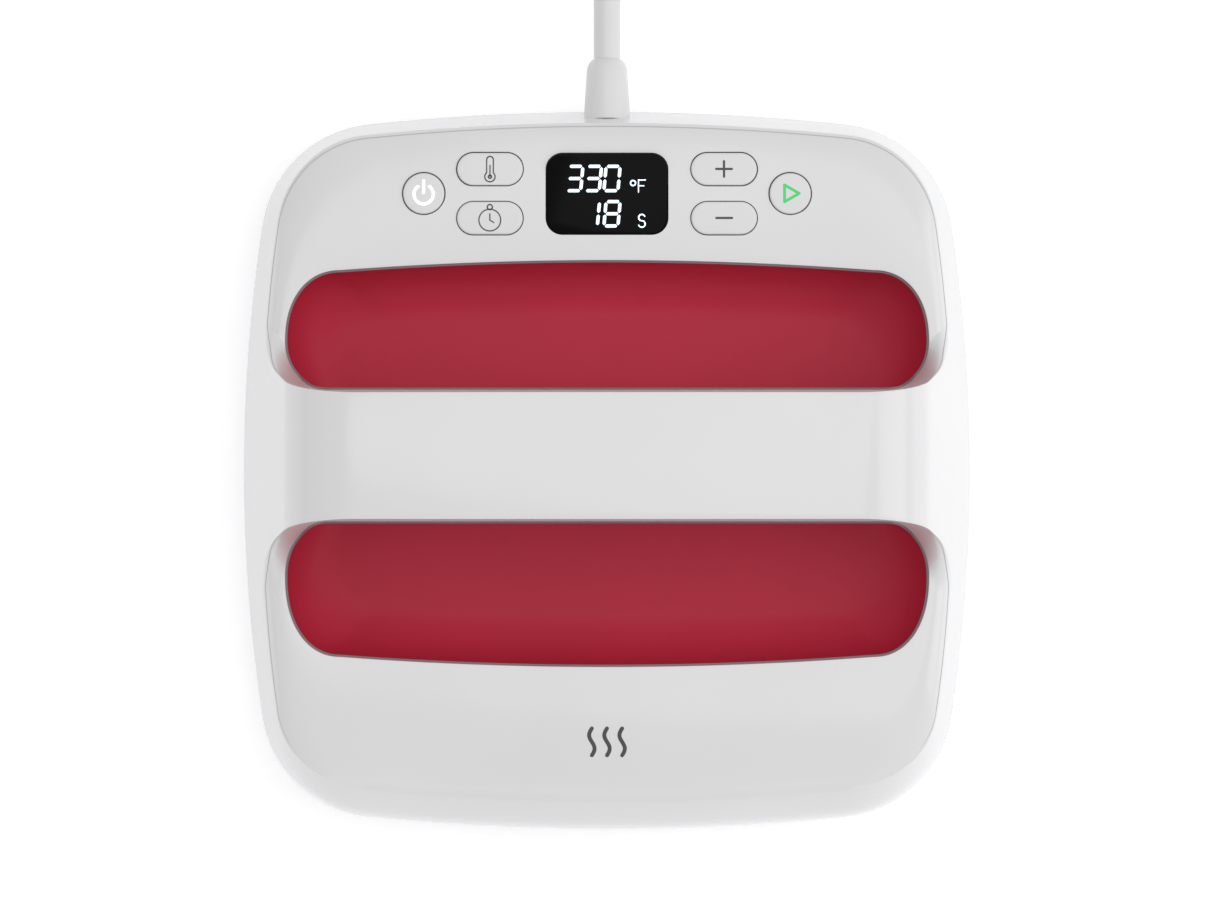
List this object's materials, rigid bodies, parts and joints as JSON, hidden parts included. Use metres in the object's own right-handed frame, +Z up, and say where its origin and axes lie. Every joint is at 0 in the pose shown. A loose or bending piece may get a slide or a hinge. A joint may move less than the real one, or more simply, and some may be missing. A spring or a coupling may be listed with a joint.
{
  "type": "hand-held flat heat press",
  "caption": "Hand-held flat heat press with a square heated plate, arched handle, rear display panel with keys, and a mains cord.",
  "frame": {"origin": "middle of the footprint on the underside of the heat plate", "axes": "+Z up, +Y to the rear where the cord leaves, +X to the right seen from the front"},
  "size_m": [0.25, 0.4605, 0.115],
  "materials": {
    "white_shell": "satin",
    "white_frame": "satin",
    "button_white": "satin",
    "red_plastic": "gloss",
    "plate_coating": "satin",
    "steel": "brushed",
    "aluminium": "satin",
    "blanket": "matt",
    "ceramic": "matt",
    "silicone": "matt",
    "lens_black": "polished",
    "lcd_glass": "polished",
    "diffuser": "matt",
    "board": "satin",
    "black_plastic": "satin",
    "film_blue": "satin",
    "film_yellow": "satin",
    "cord_jacket": "satin",
    "wire_green": "satin",
    "wire_white": "satin",
    "brass_pins": "satin"
  },
  "bodies": {
    "press": {"heat_plate": "plate_coating", "heating_element": "steel", "element_clamp_plate": "steel", "insulation_blanket": "blanket", "heat_shield": "aluminium", "plate_standoffs": "ceramic", "plate_screws": "steel", "base_frame": "white_frame", "frame_gasket": "silicone", "upper_shell": "white_shell", "grip_tray": "red_plastic", "handle_liner": "red_plastic", "handle_screws": "steel", "shell_screws": "steel", "display_lens": "lens_black", "lens_gasket": "silicone", "lcd_panel": "lcd_glass", "backlight_diffuser": "diffuser", "lcd_holder": "black_plastic", "control_board": "board", "switch_bodies": "black_plastic", "buzzer": "black_plastic", "microcontroller": "black_plastic", "control_board_screws": "steel", "ribbon_cable": "wire_white", "power_board": "board", "triac": "black_plastic", "heat_sink": "aluminium", "relay": "film_blue", "filter_capacitor": "film_yellow", "mains_fuse": "ceramic", "terminal_block": "wire_green", "power_board_screws": "steel", "thermistor": "black_plastic", "thermal_cutout": "steel", "element_leads": "wire_white", "sensor_leads": "film_yellow", "earth_lead": "wire_green", "cord_clamp": "black_plastic", "cord_clamp_screws": "steel", "inner_cord": "cord_jacket", "strain_relief": "cord_jacket", "power_cord": "cord_jacket", "cord_coil": "cord_jacket", "cord_tie": "silicone", "plug_body": "cord_jacket", "plug_pins": "brass_pins"},
    "power_key": {"power_button": "button_white", "power_plunger": "black_plastic"},
    "temperature_key": {"temperature_button": "button_white", "temperature_plunger": "black_plastic"},
    "timer_key": {"timer_button": "button_white", "timer_plunger": "black_plastic"},
    "plus_key": {"plus_button": "button_white", "plus_plunger": "black_plastic"},
    "minus_key": {"minus_button": "button_white", "minus_plunger": "black_plastic"},
    "start_key": {"start_button": "button_white", "start_plunger": "black_plastic"}
  },
  "joints": [
    {"name": "power_press", "type": "slide", "parent": "press", "child": "power_key", "axis": [0, 0, -1], "range_m": [0, 0.0005], "stiffness_N_per_m": 400, "springref_m": -0.0005},
    {"name": "temperature_press", "type": "slide", "parent": "press", "child": "temperature_key", "axis": [0, 0, -1], "range_m": [0, 0.0005], "stiffness_N_per_m": 400, "springref_m": -0.0005},
    {"name": "timer_press", "type": "slide", "parent": "press", "child": "timer_key", "axis": [0, 0, -1], "range_m": [0, 0.0005], "stiffness_N_per_m": 400, "springref_m": -0.0005},
    {"name": "plus_press", "type": "slide", "parent": "press", "child": "plus_key", "axis": [0, 0, -1], "range_m": [0, 0.0005], "stiffness_N_per_m": 400, "springref_m": -0.0005},
    {"name": "minus_press", "type": "slide", "parent": "press", "child": "minus_key", "axis": [0, 0, -1], "range_m": [0, 0.0005], "stiffness_N_per_m": 400, "springref_m": -0.0005},
    {"name": "start_press", "type": "slide", "parent": "press", "child": "start_key", "axis": [0, 0, -1], "range_m": [0, 0.0005], "stiffness_N_per_m": 400, "springref_m": -0.0005}
  ]
}
